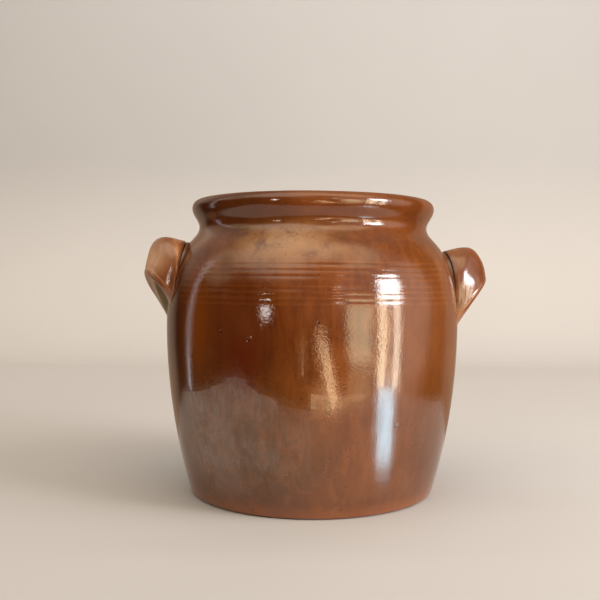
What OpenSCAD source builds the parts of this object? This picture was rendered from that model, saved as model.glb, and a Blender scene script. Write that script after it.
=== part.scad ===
// Lard pot: a thrown stoneware vessel with a round belly, a drawn-in neck and a rolled rim.
// Two clay ears are luted to its shoulder. Each is a broad strap that butts against the wall along
// its cut upper edge and bends outwards and down, so that it makes a hood, open below for the fingers.
// Millimetres, +Z up, origin at the centre of the foot. The front is at -Y.

/* [Body] */
// Height from the foot to the top of the rim
pot_h = 220; // [190:1:280]
// Radius at the foot
foot_r = 92; // [75:1:100]
// Radius at the widest ring of the belly
belly_r = 111.2; // [104:0.2:130]
// Height of the widest ring above the foot
belly_h = 128; // [100:1:140]
// Thickness of the thrown wall
wall_t = 8; // [5:0.5:12]
// Thickness of the floor
floor_t = 10; // [6:0.5:16]
// Rounding of the foot's outer edge
foot_edge = 3; // [1:0.5:6]
// Rounding inside, where the floor meets the wall
heel_r = 16; // [8:1:30]
// How full the shoulder is, as a share of its rise
shoulder_fullness = 0.84; // [0.6:0.01:0.95]
// How gently the shoulder sweeps into the neck, as a share of its rise
neck_sweep = 0.17; // [0.1:0.01:0.3]

/* [Rim] */
// Radius at the narrowest ring of the neck
neck_r = 87.4; // [78:0.2:92]
// Height of the rim, from the neck to its top
rim_h = 20.5; // [16:0.5:30]
// Radius at the widest ring of the rim
rim_r = 92.9; // [90:0.1:100]
// Thickness of the rolled rim
rim_t = 12; // [8:0.5:16]
// Length of the upright band inside the neck
throat_l = 5; // [2:0.5:10]

/* [Turned lines] */
// Turned lines in each group
line_count = 3; // [1:1:4]
// Distance between two lines of a group
line_pitch = 3.9; // [2.5:0.1:5]
// Depth of each line
line_depth = 0.4; // [0.2:0.1:1]
// Radius of the tool that cut the lines
line_tool_r = 1.6; // [1:0.1:3]
// Drop from the neck to the middle of the upper group
upper_lines_drop = 33.5; // [26:0.5:38]
// Drop from the neck to the middle of the lower group
lower_lines_drop = 49.7; // [46:0.5:60]

/* [Both ears] */
// Width of an ear across its cheeks
ear_w = 52; // [44:1:70]
// Thickness of the clay strap
ear_t = 8; // [6:0.5:10]
// Thickness of the strap at its lip
lip_t = 10; // [8:0.5:12]
// Height from the lip to the highest point of the seat
ear_rise = 28; // [22:0.5:36]
// Length of each tail's end along the wall
tail_end = 22; // [14:0.5:28]
// Height of the cut edge that stands off the wall at the top of an ear
edge_out = 8.5; // [4:0.5:10]
// How far the cut edge leans out across each cheek
edge_side = 5; // [0:0.5:8]
// How far the top of the cut edge leans up from its foot
edge_up = 2; // [0:0.5:4]
// Height of the cut edge at the tails, where it is smeared down
edge_tail = 0.6; // [0.3:0.1:2]
// How far the corner between roof and brow is drawn in from the lip
corner_in = 4; // [0:0.5:6]
// How far that corner is drawn up above the seat
corner_up = 8.5; // [6:0.5:14]
// How far that corner is drawn out across each cheek
corner_side = 6.5; // [2:0.5:10]
// How sharply the strap bends there, where 1 is a plain curve
corner_pull = 1.6; // [1:0.1:2.5]
// How far the cut lower edge slants down from the outer face to the inner one
lip_slant = 8.5; // [2:0.5:10]
// How far that edge is rounded out
lip_round = 4; // [1:0.5:5]
// Gap for the slip that lutes an ear to the wall
lute_gap = 0.1; // [0.05:0.05:0.5]

/* [Left ear] */
// Drop from the neck to the lip
left_drop = 40.7; // [38:0.1:60]
// How far the lip stands out from the wall
left_reach = 22; // [16:0.2:30]
// Drop from the lip to the tail of each cheek
left_tail = 25; // [18:1:45]
// How far the front cheek is set above the middle
left_tilt = 6.5; // [-10:0.5:10]
// Turn round the pot, towards the front
left_turn = 10; // [-20:1:20]

/* [Right ear] */
// Drop from the neck to the lip
right_drop = 45.3; // [38:0.1:60]
// How far the lip stands out from the wall
right_reach = 27.6; // [16:0.2:34]
// Drop from the lip to the tail of each cheek
right_tail = 35; // [18:1:45]
// How far the front cheek is set above the middle
right_tilt = 5; // [-10:0.5:10]
// Turn round the pot, towards the front
right_turn = -4; // [-20:1:20]

/* [Hidden] */
$fn = 144;

glaze = [0.50, 0.26, 0.11];
ear_glaze = [0.55, 0.31, 0.16];

neck_h = pot_h - rim_h;
bead_r = rim_t / 2;
bead_h = pot_h - bead_r;
mouth_r = rim_r - rim_t;
throat_r = neck_r - wall_t;

// The flank is one arc that stands upright at the belly and passes through the foot
flank_in = belly_r - foot_r;
flank_r = (belly_h * belly_h + flank_in * flank_in) / (2 * flank_in);

// How gently the neck turns out into the rim, at its lower and upper end
rim_share_low = 0.35;
rim_share_high = 0.4;

// Points taken along each stretch of the outline
flank_steps = 14;
sweep_steps = 18;
bead_steps = 14;
round_steps = 6;
tool_facets = 32;

// Sections along an ear, and points along the curves of each section
ear_sections = 36;
curve_steps = 12;
lip_steps = 4;

function mix(a, b, t) = a + (b - a) * t;

// Cubic curve with four control points
function cubic(a, b, c, d, t) =
    let (s = 1 - t)
    s * s * s * a + 3 * s * s * t * b + 3 * s * t * t * c + t * t * t * d;

// Curve that rounds off a corner. A stronger pull draws it closer to the corner.
function rounded(a, corner, b, t, pull = 1) =
    let (s = 1 - t, share = 2 * s * t * pull)
    (s * s * a + share * corner + t * t * b) / (s * s + share + t * t);

// Sweep from a low ring to a high one, upright at both
function sweep(low, high, low_share, high_share, t) =
    let (rise = high.y - low.y)
    cubic(low, low + [0, rise * low_share], high - [0, rise * high_share], high, t);

// Radius of the flank at a height, on the outside or set in from it
function flank_at(z, set_in) =
    belly_r - flank_r + sqrt(pow(flank_r - set_in, 2) - pow(belly_h - z, 2));

function shoulder_at(t) =
    sweep([belly_r, belly_h], [neck_r, neck_h], shoulder_fullness, neck_sweep, t);

// Place along the shoulder at a height, by halving the stretch that holds it
function shoulder_share(z, from = 0, to = 1, halvings = 24) =
    let (middle = (from + to) / 2)
    halvings == 0 ? middle
    : shoulder_at(middle).y < z ? shoulder_share(z, middle, to, halvings - 1)
    : shoulder_share(z, from, middle, halvings - 1);

// Outer radius of the wall at any height from the foot to the neck
function wall_at(z) = z <= belly_h ? flank_at(z, 0) : shoulder_at(shoulder_share(z)).x;

// Outside of the vessel, from the edge of the foot to the widest ring of the rim
function outer_line() = concat(
    [for (i = [0 : round_steps - 1])
        rounded([foot_r - foot_edge, 0], [foot_r, 0], [flank_at(foot_edge, 0), foot_edge],
            i / round_steps)],
    [for (i = [0 : flank_steps])
        let (z = mix(foot_edge, belly_h, i / flank_steps)) [flank_at(z, 0), z]],
    [for (i = [1 : sweep_steps]) shoulder_at(i / sweep_steps)],
    [for (i = [1 : sweep_steps])
        sweep([neck_r, neck_h], [rim_r, bead_h], rim_share_low, rim_share_high, i / sweep_steps)]);

// Over the rolled rim, from the outside to the inside
function rim_line() =
    [for (i = [1 : bead_steps - 1])
        let (angle = 180 * i / bead_steps)
        [mouth_r + bead_r + bead_r * cos(angle), bead_h + bead_r * sin(angle)]];

// Inside of the vessel, from the mouth through the upright throat to the middle of the floor
function inner_line() =
    let (
        heel_top = [flank_at(floor_t + heel_r, wall_t), floor_t + heel_r],
        heel_corner = [flank_at(floor_t, wall_t), floor_t])
    concat(
        [for (i = [sweep_steps : -1 : 0])
            sweep([throat_r, neck_h], [mouth_r, bead_h], rim_share_low, rim_share_high, i / sweep_steps)],
        [for (i = [sweep_steps : -1 : 0])
            sweep([belly_r - wall_t, belly_h], [throat_r, neck_h - throat_l],
                shoulder_fullness, neck_sweep, i / sweep_steps)],
        [for (i = [1 : flank_steps])
            let (z = mix(belly_h, heel_top.y, i / flank_steps)) [flank_at(z, wall_t), z]],
        [for (i = [1 : round_steps])
            rounded(heel_top, heel_corner, heel_corner - [heel_r, 0], i / round_steps)],
        [[0, floor_t], [0, 0]]);

// Heights of the turned lines in one group
function line_heights(drop) =
    [for (i = [0 : line_count - 1]) neck_h - drop + line_pitch * (i - (line_count - 1) / 2)];

module wall_section() {
    difference() {
        polygon(concat(outer_line(), rim_line(), inner_line()));
        for (z = concat(line_heights(upper_lines_drop), line_heights(lower_lines_drop)))
            translate([wall_at(z) + line_tool_r - line_depth, z])
                circle(line_tool_r, $fn = tool_facets);
    }
}

module pot_body() {
    color(glaze)
        rotate_extrude()
            wall_section();
}

// Moves a point that would lie inside the wall out to its seat there
function on_wall(p) =
    let (seat_r = wall_at(p.z) + lute_gap)
    [max(p.x, sqrt(seat_r * seat_r - p.y * p.y)), p.y, p.z];

// A point that stands out from the wall, at a place across the ear and a height
function off_wall(across, z, out) = on_wall([0, across, z]) + [out, 0, 0];

// An ear is set by the height of its lip, its reach, its tail and the rise of its cheek at swing 90.
// The swing is -90 at one cheek's tail, 0 at the middle and 90 at the other tail.
function lip_height(set, swing) = set[0] + set[3] * sin(swing) - set[2] * (1 - cos(swing));

// A point where one section of an ear meets the wall. set_in is 0 on the strap's outer face and
// ear_t on its inner face.
function seat_point(set, swing, set_in) =
    let (above_lip = mix(tail_end, ear_rise - set_in, cos(swing)))
    off_wall((ear_w / 2 - set_in) * sin(swing), lip_height(set, swing) + above_lip, 0);

// A point on the curve of one section, from the wall (t = 0) over the roof and the brow to the
// lip (t = 1). The outer face starts at the top of the cut edge, and the inner one on the wall.
function ear_point(set, swing, set_in, t) =
    let (
        out = cos(swing),
        across = sin(swing),
        seat = seat_point(set, swing, set_in),
        outside = 1 - set_in / ear_t,
        edge = seat + [mix(edge_tail, edge_out, out), edge_side * across * out, edge_up * out] * outside,
        lip_z = lip_height(set, swing) + lip_slant * outside,
        lip_in = (1 - outside) * lip_t,
        lip = off_wall((ear_w / 2 - set_in) * across, lip_z, (set[1] - lip_in) * out),
        full_corner = [lip.x - corner_in, lip.y + corner_side * across, seat.z + corner_up],
        corner = mix((seat + lip) / 2, full_corner, out))
    on_wall(rounded(edge, corner, lip, t, corner_pull));

// A point of the rounded edge under the lip, from the outer face to the inner one
function lip_point(set, swing, angle) =
    let (
        outer = ear_point(set, swing, 0, 1),
        inner = ear_point(set, swing, ear_t, 1),
        half = (outer - inner) / 2,
        level = norm([half.x, half.y]),
        side = half.z / level,
        bulge = [half.x * side, half.y * side, -2 * level] / norm([half.z, 2 * level]))
    on_wall((outer + inner) / 2 + half * cos(angle) + bulge * lip_round * sqrt(cos(swing)) * sin(angle));

// One section of an ear, as a closed ring of points
function ear_section(set, swing) =
    let (
        outer = [for (i = [0 : curve_steps]) ear_point(set, swing, 0, i / curve_steps)],
        inner = [for (i = [curve_steps : -1 : 0]) ear_point(set, swing, ear_t, i / curve_steps)],
        under = [for (i = [1 : lip_steps - 1]) lip_point(set, swing, 180 * i / lip_steps)],
        edge_foot = seat_point(set, swing, 0),
        seat_middle = on_wall((edge_foot + inner[curve_steps]) / 2))
    concat(outer, under, inner, [seat_middle, edge_foot]);

// A skin over rings of points, closed at both ends
module loft(rings) {
    per_ring = len(rings[0]);
    last = len(rings) - 1;
    sides = [for (i = [0 : last - 1]) for (j = [0 : per_ring - 1])
        let (a = i * per_ring + j, b = i * per_ring + (j + 1) % per_ring)
        each [[a, a + per_ring, b], [b, a + per_ring, b + per_ring]]];
    first_end = [for (j = [0 : per_ring - 1]) j];
    last_end = [for (j = [per_ring - 1 : -1 : 0]) last * per_ring + j];
    polyhedron([for (ring = rings) each ring], concat(sides, [first_end, last_end]));
}

// An ear on the +X side of the pot
module ear(set) {
    swings = [for (i = [0 : ear_sections]) mix(-90, 90, i / ear_sections)];
    color(ear_glaze)
        loft([for (swing = swings) ear_section(set, swing)]);
}

module left_ear() {
    rotate([0, 0, 180 + left_turn])
        ear([neck_h - left_drop, left_reach, left_tail, left_tilt]);
}

module right_ear() {
    rotate([0, 0, -right_turn])
        ear([neck_h - right_drop, right_reach, right_tail, -right_tilt]);
}

pot_body();
left_ear();
right_ear();
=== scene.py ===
import math

import bmesh
import bpy
import numpy as np
from mathutils import Matrix, Vector, kdtree, noise


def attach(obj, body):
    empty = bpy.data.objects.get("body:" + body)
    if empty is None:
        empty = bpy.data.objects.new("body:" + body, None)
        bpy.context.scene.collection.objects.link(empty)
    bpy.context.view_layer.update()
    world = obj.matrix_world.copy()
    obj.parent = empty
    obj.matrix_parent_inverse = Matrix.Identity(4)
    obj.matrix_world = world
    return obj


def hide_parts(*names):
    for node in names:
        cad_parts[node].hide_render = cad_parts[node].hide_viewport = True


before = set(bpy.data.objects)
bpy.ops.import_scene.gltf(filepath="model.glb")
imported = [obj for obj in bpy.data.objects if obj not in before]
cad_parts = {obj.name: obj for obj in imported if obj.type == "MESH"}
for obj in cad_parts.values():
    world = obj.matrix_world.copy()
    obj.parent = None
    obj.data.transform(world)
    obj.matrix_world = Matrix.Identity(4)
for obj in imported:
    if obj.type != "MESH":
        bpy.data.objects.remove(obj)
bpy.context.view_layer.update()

MM = 1000  # millimetres in a metre

# Sizes of the vessel in millimetres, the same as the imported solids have
POT_H = 220.0
FOOT_R = 92.0
BELLY_R = 111.2
BELLY_H = 128.0
WALL_T = 8.0
FLOOR_T = 10.0
FOOT_EDGE = 3.0
HEEL_R = 16.0
NECK_R = 87.4
RIM_H = 20.5
RIM_R = 92.9
RIM_T = 12.0
THROAT_L = 5.0
SHOULDER = (0.84, 0.17)
RIM_SWEEP = (0.35, 0.4)
LINE_HALF = 1.7
LINE_PITCH = 3.9
LINE_DROPS = (33.5, 49.7)

NECK_H = POT_H - RIM_H
BEAD_R = RIM_T / 2
BEAD_H = POT_H - BEAD_R
MOUTH_R = RIM_R - RIM_T
THROAT_R = NECK_R - WALL_T
FLANK_IN = BELLY_R - FOOT_R
FLANK_R = (BELLY_H ** 2 + FLANK_IN ** 2) / (2 * FLANK_IN)
LINES = [NECK_H - drop + LINE_PITCH * i for drop in LINE_DROPS for i in (-1, 0, 1)]

# Rows of the vessel's mesh in millimetres: radii under the foot and on the floor, and heights of the wall as
# from, to and step. The heights are closest at the turned lines.
FOOT_ROWS = (0, 25, 50, 70, 82)
FLOOR_ROWS = (50, 30, 12, 0)
WALL_ROWS = ((FOOT_EDGE, 142.0, 1.15), (142.0, 174.0, 0.43), (174.0, NECK_H, 0.9))
ROW_MARKS = ("inside", "under", "edge", "line")

# Inputs of the vessel's node tree: name, kind and value, with lengths in metres
BODY_INPUTS = [("Segments", "NodeSocketInt", 276),
               ("Wobble", "NodeSocketFloat", 0.0004), ("Wobble Size", "NodeSocketFloat", 0.09),
               ("Ring Height", "NodeSocketFloat", 0.00005), ("Ring Pitch", "NodeSocketFloat", 0.007),
               ("Ripple", "NodeSocketFloat", 0.00006), ("Ripple Size", "NodeSocketFloat", 0.016),
               ("Line Depth", "NodeSocketFloat", 0.00014), ("Line Fade", "NodeSocketFloat", 0.05)]

# Sizes of the ears in millimetres
EAR_W = 52.0
EAR_T = 8.0
LIP_T = 10.0
LIP_SLANT = 8.5
LIP_ROUND = 4.0
EAR_RISE = 28.0
TAIL_END = 22.0
EDGE_OUT = 8.5
EDGE_SIDE = 5.0
EDGE_UP = 2.0
EDGE_TAIL = 0.6
CORNER_IN = 4.0
CORNER_UP = 8.5
CORNER_SIDE = 6.5
CORNER_PULL = 1.6
SEAT_SINK = 0.5
GROOVE_T = 1.6

# An ear's mesh: its count of rings, and shares along the outer face where the rounded upper edge ends and where the
# lip swells most, with the width of that swelling
EAR_RINGS = 121
ARRIS_END = 0.07
SWELL_AT, SWELL_WIDTH = 0.95, 0.2
DENT_R = 0.0085  # metres

# How far from an ear the wall is darkened with painted shade, in millimetres: none beyond the first, full within the
# difference
JOINT_SHADE_END, JOINT_SHADE_FADE = 3.2, 2.4

# Burst bubbles on the front of the vessel: centre and radius in millimetres
PITS = [(-71.0, -80.0, 67.6, 1.1), (57.8, -89.3, 63.4, 0.8), (8.4, -100.8, 35.0, 1.1), (18.1, -101.4, 43.7, 1.0),
        (-16.5, -98.8, 30.4, 1.0), (-60.4, -93.3, 124.9, 1.9), (-41.7, -103.0, 120.5, 2.0), (-86.0, -62.0, 88.0, 1.0),
        (41.0, -98.0, 27.0, 1.0)]

# Soft areas laid over the vessel's glaze, in the order they are laid: centre and reach in metres, share and colour.
# The ochre band and red spot are the glaze's own colour; the others are painted shade and painted reflection.
GLAZE_AND_PAINTED_LIGHT_AREAS = [
    # painted shade: the left half darkened
    ((-0.07, -0.085, 0.118), (0.08, 0.09, 0.075), 0.7, (76, 30, 8)),  # dark left half
    ((-0.085, -0.072, 0.13), (0.03, 0.035, 0.06), 0.75, (124, 64, 10)),  # ochre band
    ((-0.045, -0.1, 0.1), (0.02, 0.03, 0.032), 0.6, (84, 20, 5)),  # red spot
    # painted shade: a dark band down the left flank
    ((-0.1, -0.045, 0.125), (0.035, 0.05, 0.09), 0.75, (42, 12, 6)),  # left flank
    # painted shade: the rim's left end darkened
    ((-0.08, -0.04, 0.208), (0.04, 0.06, 0.016), 0.7, (52, 20, 10)),  # left end of the rim
    # painted reflection: the right flank paler and greyer, as if mirroring pale light
    ((0.085, -0.06, 0.11), (0.08, 0.1, 0.12), 0.6, (99, 58, 31)),  # right flank
]
GLAZE_IOR = 1.62
COAT_IOR = 1.75
RELIEF = 0.0006  # metres

# The stage in metres. The far floor lies a hair under the near one.
STAGE_HALF, STAGE_FRONT, STAGE_TOP = 2.2, -1.6, 1.9
BEND_Y, BEND_R = 0.9, 0.45
FAR_Z = -0.00005
NEAR_FLOOR = [(-0.404, -0.315, 0), (0.355, -0.275, 0), (0.355, 0.15, 0), (-0.404, 0.15, 0)]
GLARE_Z = 0.0006
GLARE_CORNERS = [(0.0547, -0.0896), (0.0668, -0.081), (0.348, -0.221), (0.292, -0.287)]

# Panels of light: name, turn, low, high, span, radiance, colour and lean, as card_light takes them
CARD_REACH = 1.5
CARDS = [
    ("tall_light", 60.5, 0.36, 0.8, 18, 22, (0.9, 0.96, 1.0), 0),
    ("warm_strip_left", 52.5, -0.3, 0.4, 6, 14, (1.0, 0.82, 0.54), 0),
    ("warm_strip_right", 64.5, -0.3, 0.4, 4.5, 14, (1.0, 0.88, 0.68), 0),
    ("warm_panel", 35, -0.16, 0.36, 18, 4.2, (1.0, 0.88, 0.54), 0),
    ("warm_panel_foot", 35, -0.4, -0.16, 18, 1.5, (1.0, 0.66, 0.32), 0),
    ("low_glow", 20, -0.5, -0.4, 42, 3.5, (1.0, 0.72, 0.42), 0),
    ("warm_streak", 11, -0.45, 0.0, 5, 8, (1.0, 0.66, 0.36), -35),
    ("thin_streak", -7, -0.26, -0.04, 1.5, 4, (1.0, 0.6, 0.3), 0),
    ("high_lamp", 20, 0.44, 0.56, 5, 8, (1.0, 0.93, 0.82), 0),
    ("left_strip", -101, -0.25, 1.05, 3.5, 1.7, (0.95, 0.95, 1.0), 16),
]
# Soft lobes of light all round: direction, the angles in degrees where each is full and where it ends, and colour
LOBES = [
    ((-0.32, -0.45, 0.83), 13, 39, (1.84, 1.66, 1.32, 1.0)),
    ((-0.9, -0.1, 0.55), 6, 22, (0.85, 0.7, 0.46, 1.0)),
    ((-0.7, 0.45, 0.6), 15, 32, (0.4, 0.35, 0.29, 1.0)),
    ((0.2, 0.1, 0.95), 10, 42, (0.42, 0.36, 0.28, 1.0)),
    ((0.4, -0.42, 0.8), 8, 25, (2.4, 1.75, 1.05, 1.0)),
    ((0.97, -0.16, 0.15), 15, 29, (0.62, 0.56, 0.49, 1.0)),
    ((0.1, -0.9, 0.4), 15, 35, (0.15, 0.13, 0.11, 1.0)),
    ((0.83, -0.48, 0.22), 20, 48, (0.62, 0.58, 0.52, 1.0)),
    ((0.07, 1.0, 0.02), 47, 56, (0.36, 0.25, 0.17, 1.0)),
]
DIM_GLOW = (0.03, 0.022, 0.018, 1.0)

# The front camera: place in metres, roll in degrees, and the rest in pixels of the picture
CAMERA_AT = (0.0, -0.631, 0.1587)
CAMERA_ROLL = 0.4
PICTURE, FOCAL, SHIFT_X, SHIFT_Y = 600, 811, -12.5, -18.3
SENSOR = 36  # millimetres


def flank_at(z, set_in=0.0):
    return BELLY_R - FLANK_R + np.sqrt((FLANK_R - set_in) ** 2 - (BELLY_H - z) ** 2)


def sweep(low, high, shares, steps):
    """Points from a low ring to a high one, on a curve that stands upright at both."""
    t = np.linspace(0, 1, steps + 1)[:, None]
    s = 1 - t
    low, high = np.array(low), np.array(high)
    rise = np.array([0, high[1] - low[1]])
    return (s ** 3 * low + 3 * s * s * t * (low + rise * shares[0])
            + 3 * s * t * t * (high - rise * shares[1]) + t ** 3 * high)


SHOULDER_LINE = sweep((BELLY_R, BELLY_H), (NECK_R, NECK_H), SHOULDER, 400)


def wall_at(z):
    """Outer radius of the wall at a height."""
    z = np.asarray(z, float)
    high = np.interp(z, SHOULDER_LINE[:, 1], SHOULDER_LINE[:, 0])
    return np.where(z <= BELLY_H, flank_at(np.minimum(z, BELLY_H)), high)


def clearance(co):
    """How far a point given in metres stands off the wall, in millimetres."""
    return math.hypot(co.x, co.y) * MM - float(wall_at(co.z * MM))


def line_cut(z):
    """How deep in a turned line a height lies, from 0 beside it to 1 in its middle."""
    away = np.min(np.abs(np.subtract.outer(z, LINES)), axis=1)
    return np.cos(np.minimum(away / LINE_HALF, 1) * math.pi / 2) ** 2


def line_ridge(z):
    """How near a height lies to the ridge beside a turned line, 1 on it."""
    ridges = np.add.outer(LINES, [-LINE_PITCH / 2, LINE_PITCH / 2]).ravel()
    return np.clip(1 - np.min(np.abs(np.subtract.outer(z, ridges)), axis=1), 0, 1)


def rounded(a, corner, b, t, pull=1.0):
    s = 1 - t
    share = 2 * s * t * pull
    return (s * s * a + share * corner + t * t * b) / (s * s + share + t * t)


def spaced(start, end, step):
    return np.linspace(start, end, max(2, round(abs(end - start) / step) + 1))[:-1]


def half_section():
    """Rows of the vessel from under the foot, up the outside, over the rim and down the inside.
    Each row is radius, height, and how far it is inside, under the foot, on a worn edge and in a turned line."""
    rows = []

    def take(points, inside=0.0, under=0.0, edge=0.0, line=0.0):
        for i, (r, z) in enumerate(np.asarray(points, float)):
            shares = [share[i] if np.ndim(share) else share for share in (edge, line)]
            rows.append((r, z, inside, under, *shares))

    take([(r, 0) for r in FOOT_ROWS], under=1)
    foot = [rounded(np.array([FOOT_R - FOOT_EDGE, 0]), np.array([FOOT_R, 0]),
                    np.array([flank_at(FOOT_EDGE), FOOT_EDGE]), t) for t in np.linspace(0, 1, 9)[:-1]]
    take(foot, edge=0.6)
    z = np.concatenate([spaced(*part) for part in WALL_ROWS])
    take(np.stack([wall_at(z), z], 1), edge=0.2 * line_ridge(z), line=line_cut(z))
    take(sweep((NECK_R, NECK_H), (RIM_R, BEAD_H), RIM_SWEEP, 18)[:-1])
    turn = np.linspace(0, math.pi, 27)
    bead = np.stack([MOUTH_R + BEAD_R + BEAD_R * np.cos(turn), BEAD_H + BEAD_R * np.sin(turn)], 1)
    take(bead, edge=np.exp(-((turn - 1.75) / 0.4) ** 2))
    take(sweep((THROAT_R, NECK_H), (MOUTH_R, BEAD_H), RIM_SWEEP, 12)[-2::-1], inside=1)
    take(sweep((BELLY_R - WALL_T, BELLY_H), (THROAT_R, NECK_H - THROAT_L), SHOULDER, 20)[::-1], inside=1)
    z = np.linspace(BELLY_H, FLOOR_T + HEEL_R, 21)[1:]
    take(np.stack([flank_at(z, WALL_T), z], 1), inside=1)
    top = np.array([flank_at(FLOOR_T + HEEL_R, WALL_T), FLOOR_T + HEEL_R])
    corner = np.array([flank_at(FLOOR_T, WALL_T), FLOOR_T])
    take([rounded(top, corner, corner - [HEEL_R, 0], t) for t in np.linspace(0, 1, 9)[1:]], inside=1)
    take([(r, FLOOR_T) for r in FLOOR_ROWS], inside=1)
    return np.array(rows)


def put(tree, kind, wires=None, **settings):
    """One node, with its settings, and its inputs set to values or wired to outputs."""
    node = tree.nodes.new(kind)
    for name, value in settings.items():
        setattr(node, name, value)
    for name, value in (wires or {}).items():
        if isinstance(value, bpy.types.NodeSocket):
            tree.links.new(value, node.inputs[name])
        else:
            node.inputs[name].default_value = value
    return node


def calc(tree, operation, a, b=0.0, c=0.0, clamp=False):
    return put(tree, "ShaderNodeMath", {0: a, 1: b, 2: c}, operation=operation, use_clamp=clamp).outputs[0]


def times(tree, first, *others):
    for other in others:
        first = calc(tree, "MULTIPLY", first, other)
    return first


def between(tree, value, low, high, at_low=0.0, at_high=1.0):
    """A smooth step from at_low to at_high."""
    wires = {0: value, 1: low, 2: high, 3: at_low, 4: at_high}
    return put(tree, "ShaderNodeMapRange", wires, interpolation_type="SMOOTHSTEP").outputs[0]


def stretched(tree, place, scale):
    return put(tree, "ShaderNodeVectorMath", {0: place, 1: scale}, operation="MULTIPLY").outputs[0]


def cloud(tree, place, size, detail=3.0, rough=0.55, stretch=None, kink=0.0):
    """Soft noise whose forms are about size metres across."""
    if stretch:
        place = stretched(tree, place, stretch)
    wires = {"Vector": place, "Scale": 1 / size, "Detail": detail, "Roughness": rough, "Distortion": kink}
    return put(tree, "ShaderNodeTexNoise", wires).outputs[0]


def tint(tree, share, a, b, blend="MIX"):
    node = put(tree, "ShaderNodeMix", {0: share, 6: a, 7: b}, data_type="RGBA", blend_type=blend)
    return node.outputs[2]


def lay(tree, ground, mask, share, colour):
    """Lays a share of a colour over a ground, where a mask is 1."""
    return tint(tree, times(tree, mask, share), ground, colour)


def paint(red, green, blue):
    """A colour given as it looks on a screen, 0 to 255."""
    def linear(c):
        c /= 255
        return c / 12.92 if c <= 0.04045 else ((c + 0.055) / 1.055) ** 2.4
    return (linear(red), linear(green), linear(blue), 1.0)


def new_group(name, kind, inputs, outputs):
    """A node group with named inputs and outputs. Gives the group and what comes in."""
    tree = bpy.data.node_groups.new(name, kind)
    for label, socket_type, value in inputs:
        socket = tree.interface.new_socket(label, in_out="INPUT", socket_type=socket_type)
        if value is not None:
            socket.default_value = value
    for label, socket_type in outputs:
        tree.interface.new_socket(label, in_out="OUTPUT", socket_type=socket_type)
    return tree, tree.nodes.new("NodeGroupInput").outputs


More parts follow.
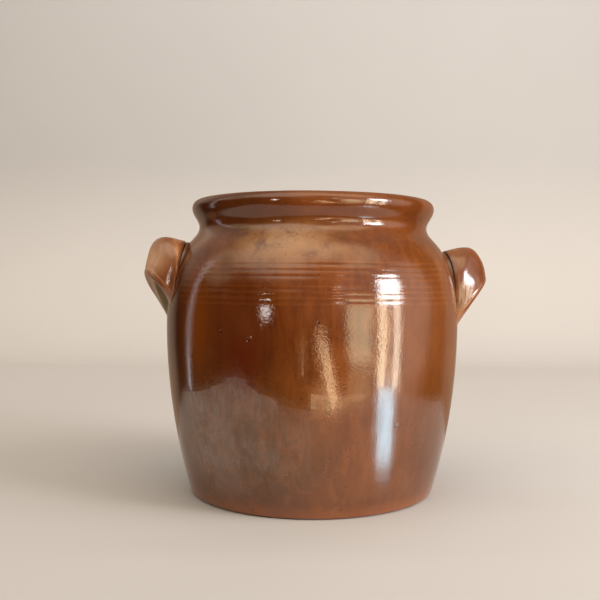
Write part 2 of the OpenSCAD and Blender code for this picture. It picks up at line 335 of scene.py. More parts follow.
def thrown_body_tree():
    """Turns a half section round the axis, then lays the unevenness of a hand-thrown wall on it."""
    tree, given = new_group("thrown_body", "GeometryNodeTree",
                            [("Half Section", "NodeSocketGeometry", None), *BODY_INPUTS,
                             ("Glaze", "NodeSocketMaterial", None)],
                            [("Vessel", "NodeSocketGeometry")])
    section = given["Half Section"]

    rows = put(tree, "GeometryNodeAttributeDomainSize", {0: section}).outputs["Point Count"]
    columns = put(tree, "FunctionNodeIntegerMath", {0: given["Segments"], 1: 1}, operation="ADD").outputs[0]
    mesh = put(tree, "GeometryNodeMeshGrid", {"Vertices X": columns, "Vertices Y": rows}).outputs["Mesh"]
    index = tree.nodes.new("GeometryNodeInputIndex").outputs[0]
    row = put(tree, "FunctionNodeIntegerMath", {0: index, 1: rows}, operation="MODULO").outputs[0]
    column = put(tree, "FunctionNodeIntegerMath", {0: index, 1: rows}, operation="DIVIDE_FLOOR").outputs[0]

    def along(value, kind):
        return put(tree, "GeometryNodeSampleIndex", {"Geometry": section, "Value": value, "Index": row},
                   data_type=kind, domain="POINT").outputs[0]

    def named(name):
        return put(tree, "GeometryNodeInputNamedAttribute", {"Name": name}, data_type="FLOAT").outputs[0]

    def keep(mesh, name, value):
        return put(tree, "GeometryNodeStoreNamedAttribute", {"Geometry": mesh, "Name": name, "Value": value},
                   data_type="FLOAT", domain="POINT").outputs[0]

    for name in ROW_MARKS:
        mesh = keep(mesh, name, along(named(name), "FLOAT"))
    point = put(tree, "ShaderNodeSeparateXYZ",
                {0: along(tree.nodes.new("GeometryNodeInputPosition").outputs[0], "FLOAT_VECTOR")}).outputs
    angle = times(tree, calc(tree, "DIVIDE", column, given["Segments"]), math.tau)
    ring = put(tree, "ShaderNodeCombineXYZ", {
        "X": times(tree, point["X"], calc(tree, "COSINE", angle)),
        "Y": times(tree, point["X"], calc(tree, "SINE", angle)),
        "Z": point["Z"]}).outputs[0]
    mesh = put(tree, "GeometryNodeSetPosition", {"Geometry": mesh, "Position": ring}).outputs[0]
    mesh = put(tree, "GeometryNodeMergeByDistance", {"Geometry": mesh, "Distance": 1e-6}).outputs[0]

    place = tree.nodes.new("GeometryNodeInputPosition").outputs[0]
    apart = put(tree, "ShaderNodeSeparateXYZ", {0: place}).outputs

    def lumps(where, scale, detail):
        return put(tree, "ShaderNodeTexNoise", {"Vector": where, "Scale": scale, "Detail": detail}).outputs[0]

    def uneven(where, scale, detail, height):
        return times(tree, calc(tree, "MULTIPLY_ADD", lumps(where, scale, detail), 2.0, -1.0), height)

    wobble = uneven(place, calc(tree, "DIVIDE", 1.0, given["Wobble Size"]), 1.0, given["Wobble"])
    ripple = uneven(place, calc(tree, "DIVIDE", 1.0, given["Ripple Size"]), 1.0, given["Ripple"])
    flat = stretched(tree, place, (6.0, 6.0, 0.0))
    turns = calc(tree, "DIVIDE", apart["Z"], given["Ring Pitch"])
    upright = put(tree, "ShaderNodeCombineXYZ", {"Z": turns}).outputs[0]
    spiral = put(tree, "ShaderNodeVectorMath", {0: flat, 1: upright}, operation="ADD").outputs[0]
    rings = uneven(spiral, 1.0, 2.0, given["Ring Height"])
    # The lines fade here and there, and towards the left, where glaze fills them
    filled = lumps(place, calc(tree, "DIVIDE", 1.0, given["Line Fade"]), 2.0)
    cut = times(tree, named("line"), given["Line Depth"], between(tree, filled, 0.34, 0.66, 0.35, 1.2),
                between(tree, apart["X"], -0.085, -0.015, 0.25, 1.0))
    relief = calc(tree, "SUBTRACT", calc(tree, "ADD", calc(tree, "ADD", wobble, ripple), rings), cut)
    relief = times(tree, relief, calc(tree, "SUBTRACT", 1.0, named("under")))
    normal = tree.nodes.new("GeometryNodeInputNormal").outputs[0]
    push = put(tree, "ShaderNodeVectorMath", {0: normal, "Scale": relief}, operation="SCALE").outputs[0]
    mesh = put(tree, "GeometryNodeSetPosition", {"Geometry": mesh, "Offset": push}).outputs[0]
    mesh = put(tree, "GeometryNodeSetShadeSmooth", {"Geometry": mesh}).outputs[0]
    mesh = put(tree, "GeometryNodeRealizeInstances", {"Geometry": mesh}).outputs[0]
    mesh = put(tree, "GeometryNodeSetMaterial", {"Geometry": mesh, "Material": given["Glaze"]}).outputs[0]
    put(tree, "NodeGroupOutput", {0: mesh})
    return tree


def new_piece(name, mesh):
    piece = bpy.data.objects.new(name, mesh)
    bpy.context.scene.collection.objects.link(piece)
    return piece


def set_mark(mesh, name, values):
    mesh.attributes.new(name, "FLOAT", "POINT").data.foreach_set("value", values.astype(np.float32))


def thrown_body(glaze):
    rows = half_section()
    line = bpy.data.meshes.new("half_section")
    line.from_pydata([(r / MM, 0, z / MM) for r, z, *_ in rows], [(i, i + 1) for i in range(len(rows) - 1)], [])
    for i, name in enumerate(ROW_MARKS):
        set_mark(line, name, rows[:, 2 + i])
    wheel = new_piece("half_section", line)
    tree = thrown_body_tree()
    turning = wheel.modifiers.new("turning", "NODES")
    turning.node_group = tree
    ids = {item.name: item.identifier for item in tree.interface.items_tree if item.in_out == "INPUT"}
    for name, _, value in BODY_INPUTS:
        turning[ids[name]] = value
    turning[ids["Glaze"]] = glaze
    depsgraph = bpy.context.evaluated_depsgraph_get()
    mesh = bpy.data.meshes.new_from_object(wheel.evaluated_get(depsgraph), preserve_all_data_layers=True,
                                           depsgraph=depsgraph)
    wheel.modifiers.remove(turning)
    bpy.data.objects.remove(wheel)
    mesh.name = "thrown_body"
    return new_piece("thrown_body", mesh)


def seated(p):
    """Moves points that would lie inside the wall out to its face, a little below it for the lute."""
    p = np.array(p, float)
    seat = wall_at(p[..., 2]) - SEAT_SINK
    p[..., 0] = np.maximum(p[..., 0], np.sqrt(np.maximum(seat ** 2 - p[..., 1] ** 2, 0)))
    return p


def off_wall(across, z, out):
    return seated(np.array([0.0, across, z])) + np.array([out, 0.0, 0.0])


def ear_rings(lip_z, reach, tail, rise):
    """Sections of an ear on the +X side. Each is a closed ring of points with its marks: edge (thin glaze and painted
    highlight), inner face, crevice (painted shade), and how much of the lip's swelling it takes."""
    rings, marks = [], []
    along_face = np.linspace(ARRIS_END, 1, 38)
    bend = np.linspace(0, math.pi, 22)[1:-1, None]
    groove = np.linspace(0, 0.72, 13)
    dip = np.exp(-((groove - 0.3) / 0.14) ** 2) - 0.25 * np.exp(-((groove - 0.55) / 0.1) ** 2)
    # Painted shade: how dark the crevice at the wall is painted along the groove
    crevice_shade = np.minimum(np.exp(-(groove / 0.1) ** 2) + np.exp(-((groove - 0.3) / 0.09) ** 2), 1)
    for swing in np.radians(np.linspace(-90, 90, EAR_RINGS)):
        out, across = max(math.cos(swing), 0.0), math.sin(swing)
        low = lip_z + rise * across - tail * (1 - out)

        def seat(set_in):
            above = TAIL_END + (EAR_RISE - set_in - TAIL_END) * out
            return off_wall((EAR_W / 2 - set_in) * across, low + above, 0)

        def strap(set_in, t):
            foot, outside = seat(set_in), 1 - set_in / EAR_T
            stand = np.array([EDGE_TAIL + (EDGE_OUT - EDGE_TAIL) * out, EDGE_SIDE * across * out, EDGE_UP * out])
            start = foot + stand * outside
            lip = off_wall((EAR_W / 2 - set_in) * across, low + LIP_SLANT * outside,
                           (reach - (1 - outside) * LIP_T) * out)
            corner = np.array([lip[0] - CORNER_IN, lip[1] + CORNER_SIDE * across, foot[2] + CORNER_UP])
            middle = (foot + lip) / 2
            corner = middle + (corner - middle) * out
            return np.array([rounded(start, corner, lip, s, CORNER_PULL) for s in np.atleast_1d(t)])

        outer = strap(0.0, along_face)
        arris, foot = strap(0.0, 0.0)[0], seat(0.0)
        turned = [rounded(arris + (foot - arris) * 0.2, arris, outer[0], t) for t in np.linspace(0, 1, 7)[:-1]]
        inner = strap(EAR_T, np.linspace(1, 0, 26))
        half = (outer[-1] - inner[0]) / 2
        level = math.hypot(half[0], half[1])
        bulge = np.array([half[0] * half[2] / level, half[1] * half[2] / level, -2 * level])
        bulge *= LIP_ROUND * math.sqrt(out) / math.hypot(half[2], 2 * level)
        under = (outer[-1] + inner[0]) / 2 + half * np.cos(bend) + np.sin(bend) * bulge
        base = [inner[-1] + (foot - inner[-1]) * t for t in (0.25, 0.5, 0.75)]
        into = (inner[-4] + outer[5]) / 2 - (foot + arris) / 2
        into *= GROOVE_T * out / max(np.linalg.norm(into), 1e-6)
        wall_side = foot + (arris - foot) * groove[:, None] + dip[:, None] * into
        rings.append(seated(np.concatenate([turned, outer, under, inner, base, wall_side])))

        swell = np.exp(-((along_face - SWELL_AT) / SWELL_WIDTH) ** 2) * out
        edge, face, lip = np.ones(len(turned)), np.ones(len(outer)), np.ones(len(under))
        back, wall = np.ones(len(inner) + len(base)), np.ones(len(groove))
        marks.append(np.stack([
            np.concatenate([edge, np.exp(-np.linspace(0, 14, len(outer))), 0.8 * np.exp(-(bend[:, 0] / 0.5) ** 2),
                            0 * back, 0.3 * groove]),
            np.concatenate([0 * edge, 0 * face, np.linspace(0, 1, len(under)) ** 3, back, 0 * wall]),
            np.concatenate([0 * edge, 0 * face, 0 * lip, 0 * back, crevice_shade]),
            np.concatenate([0 * edge, swell, np.linspace(swell[-1], 0, len(under)), 0 * back, 0 * wall])], 1))
    return np.array(rings), np.array(marks)


def clay_ear(name, glaze, lip_z, reach, tail, rise, turn, thumb, dent_depth, swelling):
    """One ear, turned round the axis by turn degrees. thumb is where a dent lies before that, in metres. The dent's
    depth and the lip's swelling are in millimetres."""
    rings, marks = ear_rings(lip_z, reach, tail, rise)
    count, per_ring = rings.shape[:2]
    corner = np.arange(count * per_ring).reshape(count, per_ring)
    next_one = np.roll(corner, -1, 1)
    faces = np.stack([corner[:-1], corner[1:], next_one[1:], next_one[:-1]], -1).reshape(-1, 4).tolist()
    faces += [corner[0].tolist(), corner[-1, ::-1].tolist()]
    mesh = bpy.data.meshes.new(name)
    mesh.from_pydata((rings.reshape(-1, 3) / MM).tolist(), [], faces)
    for i, label in enumerate(("edge", "inside", "crevice")):
        set_mark(mesh, label, marks[..., i].ravel())
    swells = swelling * marks[..., 3].ravel()
    shape = bmesh.new()
    shape.from_mesh(mesh)
    bmesh.ops.recalc_face_normals(shape, faces=shape.faces[:])
    shape.normal_update()
    for v in shape.verts:
        free = min(1.0, max(0.0, (clearance(v.co) - 1.0) / 3.0))
        hand = noise.noise(v.co * 45 + Vector((7 * turn, 0, 3))) * 0.35 + noise.noise(v.co * 130) * 0.12
        dent = -dent_depth * math.exp(-((v.co - Vector(thumb)).length / DENT_R) ** 2)
        v.co += v.normal * (hand + dent + swells[v.index]) * free / MM
    shape.to_mesh(mesh)
    shape.free()
    mesh.transform(Matrix.Rotation(math.radians(turn), 4, "Z"))
    mesh.shade_smooth()
    mesh.materials.append(glaze)
    return new_piece(name, mesh)


def mark_joints(vessel, ears):
    """Marks the wall beside each ear, where painted shade darkens it along the joint."""
    touching = [v.co for ear in ears for v in ear.data.vertices if clearance(v.co) < 0.5]
    seats = kdtree.KDTree(len(touching))
    for i, co in enumerate(touching):
        seats.insert(co, i)
    seats.balance()
    shares = np.zeros(len(vessel.data.vertices))
    for v in vessel.data.vertices:
        if 0.1 < v.co.z < 0.2 and abs(v.co.x) > 0.08:
            away = seats.find(v.co)[2] * MM
            shares[v.index] = min(1.0, max(0.0, (JOINT_SHADE_END - away) / JOINT_SHADE_FADE))
    set_mark(vessel.data, "joint", shares)


def shade_group(name, inputs, outputs):
    """A shader group whose outputs are all values."""
    return new_group(name, "ShaderNodeTree", inputs, [(label, "NodeSocketFloat") for label in outputs])


def glaze_flow_group():
    """How the glaze lies: slow clouds, runs down the wall, and iron specks."""
    tree, given = shade_group("glaze_flow", [
        ("Place", "NodeSocketVector", None), ("Cloud Size", "NodeSocketFloat", 0.04),
        ("Run Width", "NodeSocketFloat", 0.006)], ("Clouds", "Runs", "Specks"))
    place = given["Place"]
    scale = calc(tree, "DIVIDE", 1.0, given["Cloud Size"])
    clouds = put(tree, "ShaderNodeTexNoise", {"Vector": place, "Scale": scale, "Detail": 4.0,
                                              "Roughness": 0.6}).outputs[0]
    drawn = stretched(tree, place, (1.0, 1.0, 0.09))
    scale = calc(tree, "DIVIDE", 1.0, given["Run Width"])
    runs = put(tree, "ShaderNodeTexNoise", {"Vector": drawn, "Scale": scale, "Detail": 3.0, "Roughness": 0.6,
                                            "Distortion": 0.3}).outputs[0]
    dots = put(tree, "ShaderNodeTexVoronoi", {"Vector": place, "Scale": 210.0}, feature="F1").outputs["Distance"]
    some = between(tree, cloud(tree, place, 0.011, 2.0), 0.52, 0.62)
    specks = times(tree, between(tree, dots, 0.1, 0.22, 1.0, 0.0), some)
    put(tree, "NodeGroupOutput", {"Clouds": between(tree, clouds, 0.3, 0.7), "Runs": between(tree, runs, 0.35, 0.68),
                                  "Specks": specks})
    return tree


def glaze_skin_group():
    """Relief of the fired surface: slow ripple, fine peel, grain, and pinholes."""
    tree, given = shade_group("glaze_skin", [
        ("Place", "NodeSocketVector", None), ("Ripple", "NodeSocketFloat", 1.0),
        ("Grain", "NodeSocketFloat", 0.0)], ("Height", "Pinholes"))
    place = given["Place"]
    ripple = times(tree, cloud(tree, place, 0.014, 2.0, 0.5, (1.0, 1.0, 0.55)), given["Ripple"])
    peel = times(tree, cloud(tree, place, 0.0013, 2.0, 0.6), 0.42)
    grain = times(tree, cloud(tree, place, 0.0016, 4.0, 0.75), 0.5, given["Grain"])
    cells = put(tree, "ShaderNodeTexVoronoi", {"Vector": place, "Scale": 62.0}, feature="F1").outputs["Distance"]
    some = between(tree, cloud(tree, place, 0.023, 1.0), 0.55, 0.6)
    holes = times(tree, between(tree, cells, 0.03, 0.075, 1.0, 0.0), some)
    height = calc(tree, "ADD", calc(tree, "ADD", ripple, peel), calc(tree, "SUBTRACT", grain, holes))
    put(tree, "NodeGroupOutput", {"Height": height, "Pinholes": holes})
    return tree


def thin_edge_group():
    """Where the glaze has run thin off an edge, broken up as it is on a fired pot. On the ears the lighter edge is
    partly a painted highlight.
    """
    tree, given = shade_group("thin_edge", [
        ("Place", "NodeSocketVector", None), ("Edge", "NodeSocketFloat", 0.0),
        ("Amount", "NodeSocketFloat", 1.0)], ("Thin",))
    broken = between(tree, cloud(tree, given["Place"], 0.009, 4.0, 0.65), 0.34, 0.62)
    thin = calc(tree, "MULTIPLY", times(tree, given["Edge"], given["Amount"]),
                calc(tree, "MULTIPLY_ADD", broken, 0.7, 0.3), clamp=True)
    put(tree, "NodeGroupOutput", {"Thin": thin})
    return tree


def small_pit_group():
    """A burst bubble in the glaze: a dark pit inside a raised ring."""
    tree, given = shade_group("small_pit", [
        ("Place", "NodeSocketVector", None), ("Centre", "NodeSocketVector", None),
        ("Radius", "NodeSocketFloat", 0.0015)], ("Height", "Pit"))
    away = put(tree, "ShaderNodeVectorMath", {0: given["Place"], 1: given["Centre"]},
               operation="DISTANCE").outputs["Value"]
    away = calc(tree, "DIVIDE", away, given["Radius"])
    pit = between(tree, away, 0.3, 0.85, 1.0, 0.0)
    ring = times(tree, between(tree, away, 0.5, 1.0), between(tree, away, 1.0, 1.9, 1.0, 0.0))
    put(tree, "NodeGroupOutput", {"Height": calc(tree, "SUBTRACT", ring, pit), "Pit": pit})
    return tree


FLOW, SKIN, THIN, PIT = glaze_flow_group(), glaze_skin_group(), thin_edge_group(), small_pit_group()


def use(tree, group, wires):
    return put(tree, "ShaderNodeGroup", wires, node_tree=group).outputs


def bare_material(name):
    material = bpy.data.materials.new(name)
    material.use_nodes = True
    material.node_tree.nodes.clear()
    return material, material.node_tree


def fresh_material(name):
    """A material with one Principled shader. Gives the material, its tree, the shader and the place in the object."""
    material, tree = bare_material(name)
    shader = tree.nodes.new("ShaderNodeBsdfPrincipled")
    put(tree, "ShaderNodeOutputMaterial", {0: shader.outputs[0]})
    return material, tree, shader, tree.nodes.new("ShaderNodeTexCoord").outputs["Object"]


def wire_glaze(tree, shader, colour, rough, height, strength):
    """Wires colour, roughness and relief to a glaze's shader."""
    bump = put(tree, "ShaderNodeBump", {"Height": height, "Strength": strength, "Distance": RELIEF})
    for name, value in (("Base Color", colour), ("Roughness", rough), ("Normal", bump.outputs[0])):
        tree.links.new(value, shader.inputs[name])
    shader.inputs["IOR"].default_value = GLAZE_IOR


def mark(tree, name):
    return put(tree, "ShaderNodeAttribute", None, attribute_name=name).outputs["Fac"]


def patch(tree, place, centre, size):
    """A soft round area, 1 at its centre."""
    node = put(tree, "ShaderNodeMapping", {"Vector": place, "Location": [-c / s for c, s in zip(centre, size)],
                                           "Scale": [1 / s for s in size]})
    away = put(tree, "ShaderNodeVectorMath", {0: node.outputs[0]}, operation="LENGTH").outputs["Value"]
    return between(tree, away, 0.15, 1.0, 1.0, 0.0)


def brown_glaze():
    """The vessel: one glossy brown glaze all over, with finer grain towards the foot, and bare clay under it. Painted
    shade darkens the left side, the lower right and the wall beside the ears; painted reflection greys the right
    flank, lightens the front of the shoulder and tints the lower belly.
    """
    material, tree, shader, place = fresh_material("brown_glaze")
    apart = put(tree, "ShaderNodeSeparateXYZ", {0: place}).outputs
    across, up = apart["X"], apart["Z"]
    flow = use(tree, FLOW, {"Place": place, "Cloud Size": 0.05, "Run Width": 0.007})
    low = between(tree, up, 0.05, 0.12, 1.0, 0.0)
    wall = between(tree, up, 0.185, 0.2, 1.0, 0.0)
    inside, under = mark(tree, "inside"), mark(tree, "under")
    thin = use(tree, THIN, {"Place": place, "Edge": mark(tree, "edge"), "Amount": 0.8})["Thin"]

    glaze = tint(tree, flow["Clouds"], paint(82, 40, 13), paint(108, 57, 24))
    glaze = lay(tree, glaze, flow["Runs"], calc(tree, "MULTIPLY_ADD", wall, 0.15, 0.03), paint(150, 84, 32))
    broad = between(tree, cloud(tree, place, 0.013, 5.0, 0.7, (1.0, 1.0, 0.5), 0.5), 0.44, 0.68)
    glaze = lay(tree, glaze, broad, times(tree, wall, 0.45), paint(68, 26, 8))
    # Lays the listed areas: glaze colour, painted shade on the left and a painted reflection on the right
    for centre, reach, share, colour in GLAZE_AND_PAINTED_LIGHT_AREAS:
        glaze = lay(tree, glaze, patch(tree, place, centre, reach), share, paint(*colour))
    # Painted reflection: a pale gold sheen on the front of the shoulder, where the gloss mirrors bright light from
    # above
    painted_shoulder_sheen = times(tree, patch(tree, place, (-0.02, -0.085, 0.184), (0.055, 0.06, 0.022)),
                 between(tree, cloud(tree, place, 0.012, 4.0, 0.7), 0.3, 0.6))
    glaze = lay(tree, glaze, painted_shoulder_sheen, 0.4, paint(188, 140, 88))
    glaze = lay(tree, glaze, thin, 0.7, paint(178, 104, 54))
    scratch = cloud(tree, place, 0.0024, 3.0, 0.7, (1.0, 1.0, 0.14))
    glaze = lay(tree, glaze, between(tree, scratch, 0.5, 0.72), calc(tree, "MULTIPLY_ADD", low, 0.3, 0.1),
                paint(72, 36, 16))
    # Painted reflection: an olive-brown tone over the lower belly, greener left of the front, for the pale floor it
    # mirrors
    olive = times(tree, between(tree, across, -0.035, 0.03, 1.0, 0.0), between(tree, up, 0.008, 0.035))
    low_mirror_tone = tint(tree, olive, paint(102, 57, 18), paint(82, 58, 8))
    glaze = lay(tree, glaze, low, 0.45, low_mirror_tone)
    # Painted shade: the lower right of the belly darkened
    painted_shade_low_right = patch(tree, place, (0.09, -0.06, 0.05), (0.06, 0.07, 0.07))
    glaze = lay(tree, glaze, painted_shade_low_right, 0.7, paint(74, 37, 8))
    crawl = between(tree, cloud(tree, place, 0.012, 6.0, 0.78, (1.0, 1.0, 0.6), 0.6), 0.5, 0.57)
    crawl_share = times(tree, low, between(tree, across, 0.0, 0.05, 0.35, 0.12))
    glaze = lay(tree, glaze, crawl, crawl_share, paint(128, 70, 26))
    glaze = lay(tree, glaze, between(tree, up, 0.0, 0.012, 1.0, 0.0), 0.5, paint(150, 82, 42))

    skin = use(tree, SKIN, {"Place": place, "Ripple": 0.6, "Grain": calc(tree, "MULTIPLY_ADD", low, 0.5, 0.2)})
    colour = lay(tree, glaze, flow["Specks"], 0.5, paint(54, 24, 11))
    colour = lay(tree, colour, skin["Pinholes"], 0.8, paint(30, 13, 7))
    # Painted shade: the wall darkened beside each ear, along the joint
    colour = lay(tree, colour, mark(tree, "joint"), 0.7, paint(46, 18, 9))
    colour = lay(tree, colour, under, 0.9, paint(176, 128, 88))
    colour = lay(tree, colour, inside, 0.4, paint(120, 66, 30))
    height, pitted = skin["Height"], 0.0
    for *centre, radius in PITS:
        pit = use(tree, PIT, {"Place": place, "Centre": [c / MM for c in centre], "Radius": radius / MM})
        height = calc(tree, "MULTIPLY_ADD", pit["Height"], 0.8, height)
        pitted = calc(tree, "MAXIMUM", pitted, pit["Pit"])
    colour = lay(tree, colour, pitted, 0.6, paint(44, 17, 8))

    # A second coat over the lower belly, broken by its grain. It ends where the surface turns away.
    facing = put(tree, "ShaderNodeLayerWeight", {"Blend": 0.5}).outputs["Facing"]
    second_coat = times(tree, between(tree, up, 0.09, 0.125, 1.0, 0.0), between(tree, scratch, 0.4, 0.6, 1.0, 0.6),
                        between(tree, cloud(tree, place, 0.026, 5.0, 0.7), 0.36, 0.58, 0.25, 1.0),
                        calc(tree, "MULTIPLY_ADD", olive, 0.75, 0.25), between(tree, facing, 0.45, 0.75, 1.0, 0.0))
    tree.links.new(second_coat, shader.inputs["Coat Weight"])
    shader.inputs["Coat Roughness"].default_value = 0.03
    shader.inputs["Coat IOR"].default_value = COAT_IOR
    rough = calc(tree, "MULTIPLY_ADD", cloud(tree, place, 0.02, 3.0), 0.05, 0.015)
    rim_top = between(tree, up, 0.213, 0.219, 0.0, 0.22)
    for more in (times(tree, low, 0.01), times(tree, under, 0.5), rim_top):
        rough = calc(tree, "ADD", rough, more)
    wire_glaze(tree, shader, colour, rough, height, 0.3)
    return material


def ear_glaze():
    """The ears: the same brown glaze, with lighter edges that are partly thin glaze and partly a painted highlight,
    painted light on the inner face, a painted reflection on the left ear, and painted shade on the right ear and in
    the crevice at the wall.
    """
    material, tree, shader, place = fresh_material("ear_glaze")
    flow = use(tree, FLOW, {"Place": place, "Cloud Size": 0.022, "Run Width": 0.005})
    thin = use(tree, THIN, {"Place": place, "Edge": mark(tree, "edge"), "Amount": 0.9})["Thin"]
    inside = mark(tree, "inside")
    glaze = tint(tree, flow["Clouds"], paint(110, 62, 34), paint(144, 88, 54))
    glaze = lay(tree, glaze, flow["Runs"], 0.35, paint(104, 50, 26))
    # Edges lighter: partly thin glaze, partly a painted highlight along the arris and lip
    glaze = lay(tree, glaze, thin, 0.75, paint(206, 138, 84))
    # Painted reflection: the left ear's face lightened to a pale tan, as the gloss mirrors bright light from above
    painted_sheen_left = patch(tree, place, (-0.122, -0.03, 0.176), (0.03, 0.04, 0.02))
    glaze = lay(tree, glaze, painted_sheen_left, 0.85, paint(204, 158, 124))
    # Painted shade: the right ear's face darkened
    painted_shade_right = patch(tree, place, (0.122, -0.014, 0.17), (0.04, 0.045, 0.04))
    glaze = lay(tree, glaze, painted_shade_right, 0.9, paint(88, 47, 27))
    skin = use(tree, SKIN, {"Place": place, "Ripple": 0.7, "Grain": times(tree, inside, 0.4)})
    # Painted light: the inner face of each ear, in the hood's shade, painted a pale tone lit by the floor
    wash_light = tint(tree, flow["Clouds"], paint(196, 178, 150), paint(208, 188, 158))
    colour = tint(tree, inside, glaze, wash_light)
    # Painted shade: the crevice between the ear and the wall painted near black
    colour = lay(tree, colour, mark(tree, "crevice"), 0.92, paint(30, 12, 7))
    colour = lay(tree, colour, flow["Specks"], 0.5, paint(60, 28, 14))
    colour = lay(tree, colour, skin["Pinholes"], 0.8, paint(34, 15, 8))
    gloss = calc(tree, "MULTIPLY_ADD", cloud(tree, place, 0.012, 3.0), 0.1, 0.08)
    rough = put(tree, "ShaderNodeMix", {0: inside, 2: gloss, 3: 0.35}, data_type="FLOAT").outputs[0]
    wire_glaze(tree, shader, colour, rough, skin["Height"], 0.35)
    return material


def pale_finish():
    material, tree, shader, place = fresh_material("pale_floor")
    tone = tint(tree, cloud(tree, place, 0.3, 2.0), paint(177, 174, 174), paint(181, 178, 178))
    tree.links.new(tone, shader.inputs["Base Color"])
    shader.inputs["Roughness"].default_value = 0.6
    return material


def stage_piece(name, verts, faces, material):
    mesh = bpy.data.meshes.new(name)
    mesh.from_pydata(verts, [], faces)
    mesh.shade_smooth()
    mesh.materials.append(material)
    piece = new_piece(name, mesh)
    return piece


def pale_floor():
    """A plain floor and backdrop. The gloss mirrors only the near floor, so that the belly keeps its dark mirror
    image and the flanks stay brown."""
    finish = pale_finish()
    stage_piece("near_floor", NEAR_FLOOR, [(0, 1, 2, 3)], finish)
    edge = [(-STAGE_HALF, STAGE_FRONT, FAR_Z), (STAGE_HALF, STAGE_FRONT, FAR_Z),
            (STAGE_HALF, BEND_Y, FAR_Z), (-STAGE_HALF, BEND_Y, FAR_Z)]
    far = stage_piece("far_floor", edge, [(0, 1, 2, 3)], finish)
    far.visible_shadow = False
    path = [(BEND_Y, FAR_Z)]
    path += [(BEND_Y + BEND_R * math.sin(a), BEND_R - BEND_R * math.cos(a))
             for a in np.linspace(0, math.pi / 2, 17)[1:]]
    path += [(BEND_Y + BEND_R, STAGE_TOP)]
    verts = [(x, y, z) for y, z in path for x in (-STAGE_HALF, STAGE_HALF)]
    faces = [(2 * i, 2 * i + 1, 2 * i + 3, 2 * i + 2) for i in range(len(path) - 1)]
    back = stage_piece("backdrop", verts, faces, finish)
    far.visible_glossy = back.visible_glossy = False


def floor_glare():
    """The shine of the tall light on the floor, which only the gloss mirrors. It shows at low angles from above."""
    material, tree = bare_material("floor_glare")
    place = tree.nodes.new("ShaderNodeTexCoord").outputs["Object"]
    away = put(tree, "ShaderNodeVectorMath", {0: place}, operation="LENGTH").outputs["Value"]
    under = tree.nodes.new("ShaderNodeNewGeometry").outputs["Backfacing"]
    facing = put(tree, "ShaderNodeLayerWeight", {"Blend": 0.5}).outputs["Facing"]
    strength = times(tree, between(tree, away, 0.103, 0.19, 0.0, 9.8), calc(tree, "SUBTRACT", 1.0, under),
                     between(tree, facing, 0.33, 0.5))
    shine = put(tree, "ShaderNodeEmission", {"Color": (0.5, 0.84, 1.0, 1.0), "Strength": strength}).outputs[0]
    clear = tree.nodes.new("ShaderNodeBsdfTransparent").outputs[0]
    both = put(tree, "ShaderNodeAddShader", {0: shine, 1: clear}).outputs[0]
    put(tree, "ShaderNodeOutputMaterial", {0: both})
    corners = [(x, y, GLARE_Z) for x, y in GLARE_CORNERS]
    piece = stage_piece("floor_glare", corners, [(0, 3, 2, 1)], material)
    piece.visible_camera = piece.visible_diffuse = piece.visible_shadow = False


def soft_light(name, place, aim, width, height, power, colour):
    data = bpy.data.lights.new(name, "AREA")
    data.shape = "RECTANGLE"
    data.size, data.size_y = width, height
    data.energy = power
    data.color = colour
    lamp = new_piece(name, data)
    lamp.location = place
    lamp.rotation_euler = (Vector(aim) - Vector(place)).to_track_quat("-Z", "Y").to_euler()
    lamp.visible_camera = False
    return lamp


def card_light(name, turn, reach, low, high, span, radiance, colour, lean=0.0):
    """An upright panel that faces the pot. turn and span are angles seen from it, low and high are heights, and
    lean tips its top round the pot."""
    turn, lean = math.radians(turn), math.radians(lean)
    width, length = 2 * reach * math.tan(math.radians(span) / 2), (high - low) / math.cos(lean)
    place = Vector((reach * math.sin(turn), -reach * math.cos(turn), (low + high) / 2))
    lamp = soft_light(name, place, (0.0, 0.0, place.z), width, length, radiance * math.pi * width * length, colour)
    outward = Vector((math.sin(turn), -math.cos(turn), 0.0))
    along = Vector((math.cos(turn) * math.sin(lean), math.sin(turn) * math.sin(lean), math.cos(lean)))
    lamp.rotation_euler = Matrix((along.cross(outward), along, outward)).transposed().to_euler()
    return lamp


def lights():
    for name, turn, low, high, span, radiance, colour, lean in CARDS:
        card_light(name, turn, CARD_REACH, low, high, span, radiance, colour, lean)
    lamp = card_light("small_lamp", -33.5, 1.2, 0.165, 0.262, 3.7, 20, (1.0, 0.95, 0.86))
    lamp.data.shape = "ELLIPSE"
    wash_light = soft_light("backdrop_wash", (0.2, 0.45, 1.75), (0.2, 1.35, 0.5), 2.6, 0.25, 14, (0.98, 0.98, 0.98))
    side = soft_light("side_wash", (1.1, -0.45, 1.0), (0.3, 0.0, 0.0), 0.7, 0.7, 10, (1.0, 0.98, 0.95))
    wash_light.visible_glossy = side.visible_glossy = False


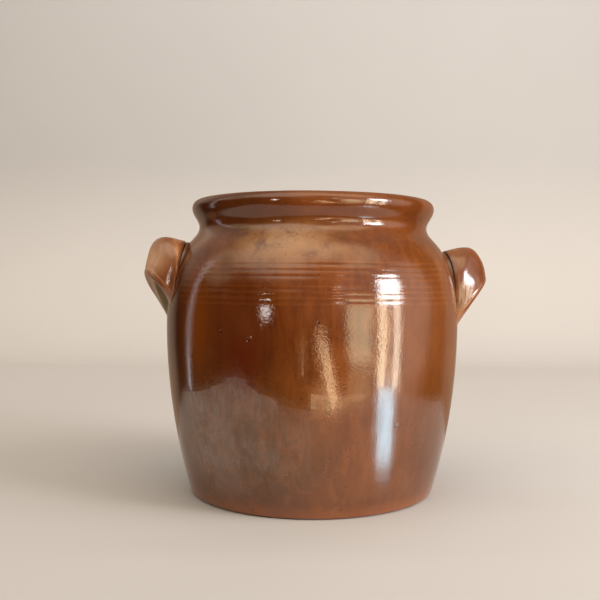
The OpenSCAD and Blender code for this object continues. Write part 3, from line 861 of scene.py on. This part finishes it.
def surround():
    """Soft light from all round. The camera sees a plain pale tone instead."""
    world = bpy.data.worlds.new("soft_surround")
    bpy.context.scene.world = world
    world.use_nodes = True
    tree = world.node_tree
    tree.nodes.clear()
    seen = tree.nodes.new("ShaderNodeLightPath").outputs["Is Camera Ray"]
    way = tree.nodes.new("ShaderNodeTexCoord").outputs["Generated"]
    glow = DIM_GLOW
    for towards, inner, outer, colour in LOBES:
        towards = Vector(towards).normalized()
        share = put(tree, "ShaderNodeVectorMath", {0: way, 1: towards}, operation="DOT_PRODUCT").outputs["Value"]
        share = between(tree, share, math.cos(math.radians(outer)), math.cos(math.radians(inner)))
        glow = tint(tree, share, glow, colour, "ADD")
    colour = tint(tree, seen, glow, paint(226, 217, 204))
    back = put(tree, "ShaderNodeBackground", {"Color": colour, "Strength": 1.0})
    put(tree, "ShaderNodeOutputWorld", {0: back.outputs[0]})


def front_camera():
    scene = bpy.context.scene
    scene.view_settings.view_transform = "Standard"
    data = bpy.data.cameras.new("front")
    data.sensor_width = SENSOR
    data.lens = FOCAL / PICTURE * SENSOR
    data.shift_x = SHIFT_X / PICTURE
    data.shift_y = SHIFT_Y / PICTURE
    camera = new_piece("front", data)
    camera.location = CAMERA_AT
    upright, roll = Matrix.Rotation(math.pi / 2, 3, "X"), Matrix.Rotation(math.radians(CAMERA_ROLL), 3, "Z")
    camera.rotation_euler = (upright @ roll).to_euler()
    scene.camera = camera


body = thrown_body(brown_glaze())
glaze = ear_glaze()
left = clay_ear("hooded_ear_left", glaze, lip_z=NECK_H - 40.7, reach=22.0, tail=25.0, rise=6.5, turn=190,
                thumb=(0.121, 0.012, 0.178), dent_depth=1.6, swelling=0.0)
right = clay_ear("hooded_ear_right", glaze, lip_z=NECK_H - 45.3, reach=27.6, tail=35.0, rise=-5.0, turn=4,
                 thumb=(0.122, -0.013, 0.1715), dent_depth=1.9, swelling=1.9)
mark_joints(body, (left, right))
for piece, node, slot in ((body, "pot_body", "body_glaze"), (left, "left_ear", "ear_glaze"),
                          (right, "right_ear", "ear_glaze")):
    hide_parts(node)
    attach(piece, "root")
pale_floor()
floor_glare()
lights()
surround()
front_camera()
